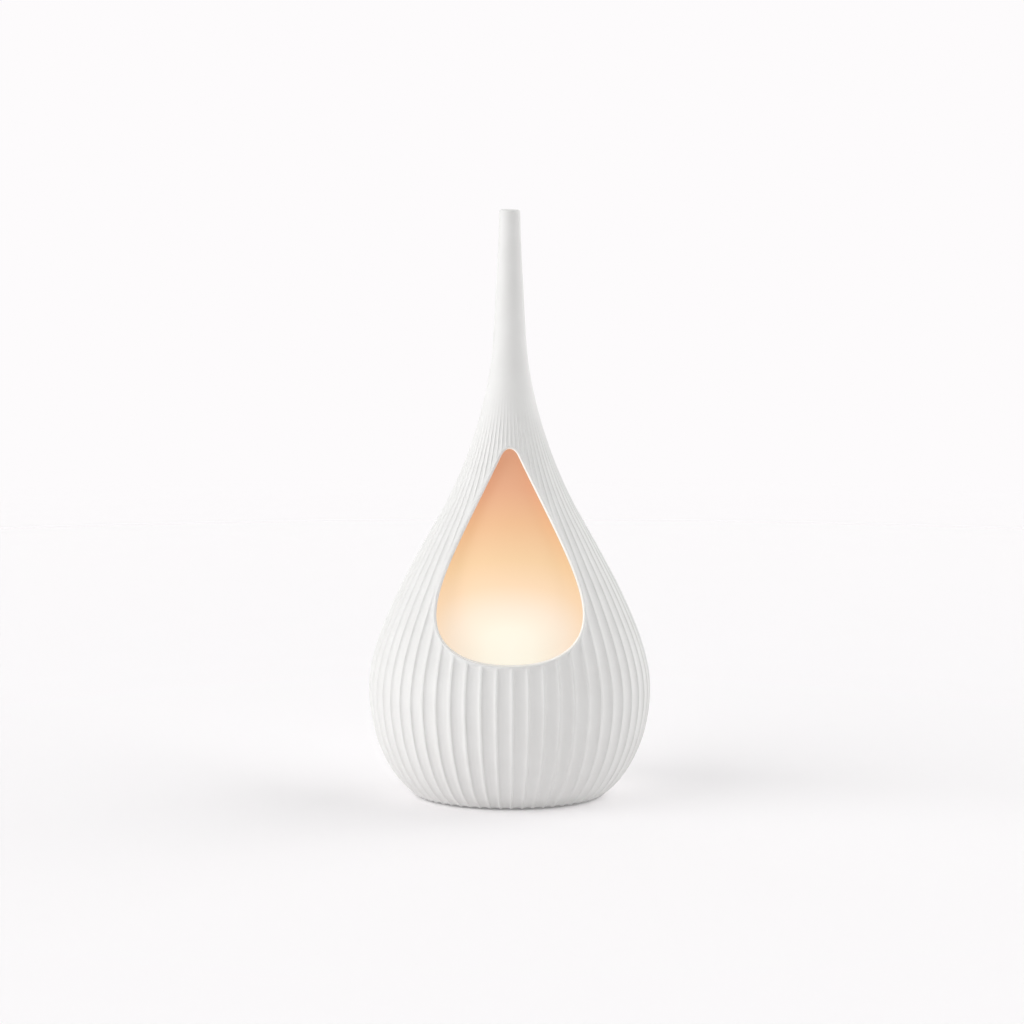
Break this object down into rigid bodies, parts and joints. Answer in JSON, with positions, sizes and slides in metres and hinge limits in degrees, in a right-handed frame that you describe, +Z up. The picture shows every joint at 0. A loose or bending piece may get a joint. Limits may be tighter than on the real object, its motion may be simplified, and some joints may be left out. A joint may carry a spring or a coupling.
{
  "type": "cool mist humidifier",
  "caption": "Ribbed white teardrop tabletop humidifier with a long neck outlet and a warm glowing window; the shell lifts off a base with tank, fan and controls.",
  "frame": {"origin": "centre of the footprint on the surface it stands on, under the neck's axis", "axes": "+Z up along the axis of the teardrop, -Y towards the window, +X to the right as the window faces the viewer"},
  "size_m": [0.183, 0.183, 0.38],
  "materials": {
    "bisque_ceramic": "matte unglazed white bisque, fine grain",
    "housing_plastic": "satin white moulded plastic",
    "cover_plastic": "matte light grey moulded plastic",
    "button_plastic": "smooth white plastic",
    "dark_plastic": "matte black plastic",
    "tank_plastic": "translucent clear plastic",
    "frosted_plastic": "frosted translucent plastic, lit warm from below",
    "grey_rubber": "matte grey rubber",
    "white_silicone": "soft matte white silicone",
    "screw_steel": "plain steel",
    "bracket_aluminium": "stamped sheet, satin",
    "heat_sink_aluminium": "extruded, satin",
    "capacitor_can": "bright can",
    "transducer_brass": "nickel-free brass disc",
    "circuit_board": "green solder mask",
    "lamp_lens": "clear warm lamp lens",
    "ferrite": "dark sintered ferrite",
    "lead_sheath": "grey wire sheath",
    "float_foam": "closed-cell foam"
  },
  "bodies": {
    "base": {"base_housing": "housing_plastic", "bottom_cover": "cover_plastic", "foot_1": "grey_rubber", "foot_2": "grey_rubber", "foot_3": "grey_rubber", "foot_4": "grey_rubber", "cover_screw_1": "screw_steel", "cover_screw_2": "screw_steel", "cover_screw_3": "screw_steel", "cover_screw_4": "screw_steel", "bracket_screw_1": "screw_steel", "bracket_screw_2": "screw_steel", "board_screw_1": "screw_steel", "board_screw_2": "screw_steel", "water_tank": "tank_plastic", "transducer_disc": "transducer_brass", "transducer_seal": "white_silicone", "transducer_bracket": "bracket_aluminium", "led_board": "circuit_board", "led_1": "lamp_lens", "led_2": "lamp_lens", "led_3": "lamp_lens", "led_4": "lamp_lens", "led_5": "lamp_lens", "led_6": "lamp_lens", "fan_frame": "dark_plastic", "fan_plenum": "dark_plastic", "air_duct": "housing_plastic", "driver_board": "circuit_board", "inductor": "ferrite", "capacitor": "capacitor_can", "heat_sink": "heat_sink_aluminium", "driver_chip": "dark_plastic", "control_board": "circuit_board", "tact_switch_1": "dark_plastic", "tact_switch_2": "dark_plastic", "dc_jack": "dark_plastic", "fan_lead": "lead_sheath", "transducer_lead": "lead_sheath", "led_lead": "lead_sheath", "control_lead": "lead_sheath", "float_cap": "housing_plastic", "reed_sensor": "dark_plastic", "hood_seal": "white_silicone"},
    "shell": {"outer_shell": "bisque_ceramic"},
    "hood": {"mist_hood": "frosted_plastic", "neck_seal": "white_silicone"},
    "fan_rotor": {"fan_rotor": "dark_plastic"},
    "power_button": {"power_button": "button_plastic"},
    "light_button": {"light_button": "button_plastic"},
    "water_float": {"water_float": "float_foam", "float_magnet": "ferrite"}
  },
  "joints": [
    {"name": "shell_lift", "type": "slide", "parent": "base", "child": "shell", "axis": [0, 0, 1], "range_m": [0, 0.36]},
    {"name": "hood_lift", "type": "slide", "parent": "base", "child": "hood", "axis": [0, 0, 1], "range_m": [0, 0.09]},
    {"name": "fan_spin", "type": "hinge", "parent": "base", "child": "fan_rotor", "pos_m": [-0.026, 0, 0.009], "axis": [0, 0, 1], "continuous": true},
    {"name": "power_button_press", "type": "slide", "parent": "base", "child": "power_button", "axis": [0, -1, 0], "range_m": [0, 0.001], "stiffness_N_per_m": 400},
    {"name": "light_button_press", "type": "slide", "parent": "base", "child": "light_button", "axis": [0, -1, 0], "range_m": [0, 0.001], "stiffness_N_per_m": 400},
    {"name": "float_rise", "type": "slide", "parent": "base", "child": "water_float", "axis": [0, 0, 1], "range_m": [0, 0.01]}
  ],
  "couplings": [
    {"joint": "hood_lift", "follows": "shell_lift", "ratio": 0.25}
  ]
}
